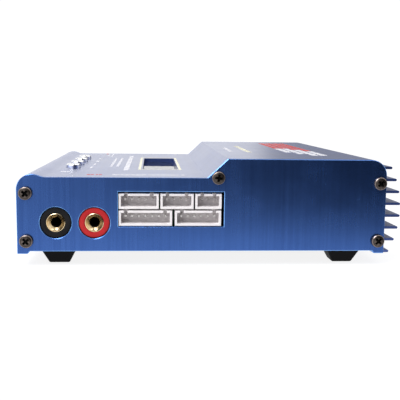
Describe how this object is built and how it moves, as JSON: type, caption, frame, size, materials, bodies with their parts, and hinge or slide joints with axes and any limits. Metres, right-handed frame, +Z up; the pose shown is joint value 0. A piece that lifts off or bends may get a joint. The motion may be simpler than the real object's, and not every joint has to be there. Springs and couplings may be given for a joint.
{
  "type": "balance battery charger",
  "caption": "Bench battery charger in a stepped, finned aluminium case with display, push buttons, balance headers, output sockets and a mains inlet.",
  "frame": {"origin": "middle of the base, on the surface that the feet stand on", "axes": "+X along the extrusion towards the output end, +Y across the case from the low control side to the finned side, +Z up"},
  "size_m": [0.1384, 0.1448, 0.0406],
  "materials": {
    "blue_anodised": "blue anodised extrusion, satin along the draw",
    "blue_plate": "blue anodised sheet, fine brushed grain",
    "bottom_metal": "blue anodised sheet",
    "black_screw": "black oxide steel",
    "foot_rubber": "matt black rubber",
    "clear_window": "clear polished plastic",
    "display_black": "black coated steel",
    "display_glass": "dark display glass",
    "display_light": "diffusing plastic",
    "circuit_board": "green solder mask",
    "button_chrome": "polished chrome",
    "switch_black": "moulded",
    "zinc_steel": "zinc plated",
    "brass_standoff": "turned brass",
    "socket_black": "moulded",
    "socket_red": "moulded",
    "gold_contact": "gold plated",
    "header_white": "natural nylon",
    "pin_tin": "tin plated",
    "inlet_black": "moulded",
    "inlet_nickel": "nickel plated",
    "fan_black": "moulded",
    "part_epoxy": "moulded epoxy",
    "pad_grey": "silicone pad",
    "plain_aluminium": "mill finish",
    "ferrite": "sintered ferrite",
    "winding_yellow": "polyester tape",
    "capacitor_sleeve": "shrink sleeve",
    "copper_wire": "enamelled copper",
    "fuse_glass": "glass tube",
    "print_white": "screen printed ink",
    "print_cream": "screen printed ink",
    "print_yellow": "screen printed ink",
    "print_red": "screen printed ink"
  },
  "bodies": {
    "case": {"housing_extrusion": "blue_anodised", "bottom_plate": "bottom_metal", "output_end_plate": "blue_plate", "input_end_plate": "blue_plate", "output_plate_screws": "black_screw", "input_plate_screws": "black_screw", "foot_low_output": "foot_rubber", "foot_high_output": "foot_rubber", "foot_low_input": "foot_rubber", "foot_high_input": "foot_rubber", "display_window": "clear_window", "display_bezel": "display_black", "display_glass": "display_glass", "display_backlight": "display_light", "display_board": "circuit_board", "button_switches": "switch_black", "front_panel_board": "circuit_board", "charger_board": "circuit_board", "power_supply_board": "circuit_board", "board_standoffs": "brass_standoff", "board_screws": "zinc_steel", "bottom_screws": "black_screw", "negative_socket_bush": "socket_black", "positive_socket_bush": "socket_red", "negative_socket_contact": "gold_contact", "positive_socket_contact": "gold_contact", "socket_nuts": "brass_standoff", "balance_header_3pin": "header_white", "balance_header_4pin": "header_white", "balance_header_5pin": "header_white", "balance_header_6pin": "header_white", "balance_header_7pin": "header_white", "sensor_header": "switch_black", "header_pins": "pin_tin", "balance_board": "circuit_board", "sensor_board": "circuit_board", "ac_inlet_body": "inlet_black", "ac_inlet_pins": "inlet_nickel", "dc_jack_body": "inlet_black", "dc_jack_pin": "inlet_nickel", "fan_bracket": "zinc_steel", "fan_frame": "fan_black", "power_transistors": "part_epoxy", "thermal_pad": "pad_grey", "transistor_clamp": "plain_aluminium", "clamp_screws": "zinc_steel", "transformer_core": "ferrite", "transformer_winding": "winding_yellow", "bulk_capacitor": "capacitor_sleeve", "filter_capacitors": "capacitor_sleeve", "inductor_cores": "ferrite", "inductor_windings": "copper_wire", "mains_fuse": "fuse_glass", "processor": "part_epoxy", "sounder": "switch_black"},
    "stop_button": {"stop_button": "button_chrome"},
    "decrease_button": {"decrease_button": "button_chrome"},
    "increase_button": {"increase_button": "button_chrome"},
    "start_button": {"start_button": "button_chrome"},
    "fan_rotor": {"fan_rotor": "fan_black"}
  },
  "joints": [
    {"name": "stop_press", "type": "slide", "parent": "case", "child": "stop_button", "axis": [0, 0, -1], "range_m": [0, 0.0005], "stiffness_N_per_m": 1500},
    {"name": "decrease_press", "type": "slide", "parent": "case", "child": "decrease_button", "axis": [0, 0, -1], "range_m": [0, 0.0005], "stiffness_N_per_m": 1500},
    {"name": "increase_press", "type": "slide", "parent": "case", "child": "increase_button", "axis": [0, 0, -1], "range_m": [0, 0.0005], "stiffness_N_per_m": 1500},
    {"name": "start_press", "type": "slide", "parent": "case", "child": "start_button", "axis": [0, 0, -1], "range_m": [0, 0.0005], "stiffness_N_per_m": 1500},
    {"name": "fan_spin", "type": "hinge", "parent": "case", "child": "fan_rotor", "pos_m": [-0.0479, -0.0488, 0.01795], "axis": [1, 0, 0], "continuous": true}
  ]
}
